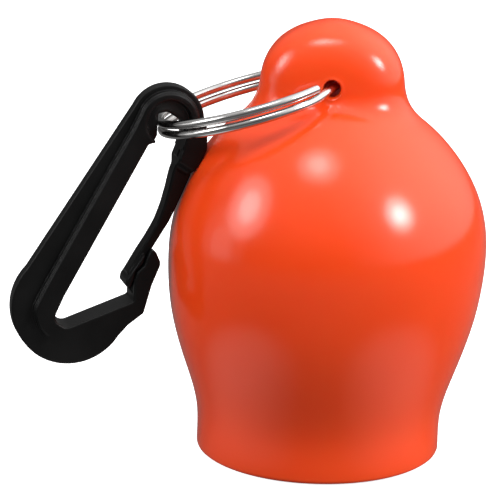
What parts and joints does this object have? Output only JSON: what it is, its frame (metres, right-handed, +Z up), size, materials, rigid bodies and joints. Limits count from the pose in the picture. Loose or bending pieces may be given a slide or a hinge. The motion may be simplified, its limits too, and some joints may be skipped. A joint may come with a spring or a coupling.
{
  "type": "regulator mouthpiece cover",
  "caption": "Soft bulb-shaped cover that pushes onto a dive regulator's mouthpiece, with a head hole holding a split ring and a snap clip.",
  "frame": {"origin": "centre of the open mouth, on the plane of its rim", "axes": "+Z up the axis of the cover from the mouth to the head; the head's cross hole runs along Y; the ring and clip hang towards -X"},
  "size_m": [0.0957, 0.065, 0.091],
  "materials": {
    "orange_pvc": "glossy",
    "ring_steel": "polished",
    "black_plastic": "satin"
  },
  "bodies": {
    "cover": {"cover": "orange_pvc"},
    "ring": {"split_ring": "ring_steel"},
    "clip": {"clip_frame": "black_plastic"},
    "gate": {"clip_gate": "black_plastic"}
  },
  "joints": [
    {"name": "ring_swing", "type": "hinge", "parent": "cover", "child": "ring", "pos_m": [0, 0, 0.0774], "axis": [0, 1, 0], "range_deg": [0, 180]},
    {"name": "clip_swing", "type": "hinge", "parent": "ring", "child": "clip", "pos_m": [-0.03309, -0.00578, 0.06816], "axis": [-0.309, 0.9511, 0], "range_deg": [0, 120]},
    {"name": "gate_flex", "type": "hinge", "parent": "clip", "child": "gate", "pos_m": [-0.02987, -0.00474, 0.05887], "axis": [-0.309, 0.9511, 0], "range_deg": [0, 13], "stiffness_Nm_per_rad": 0.08}
  ]
}
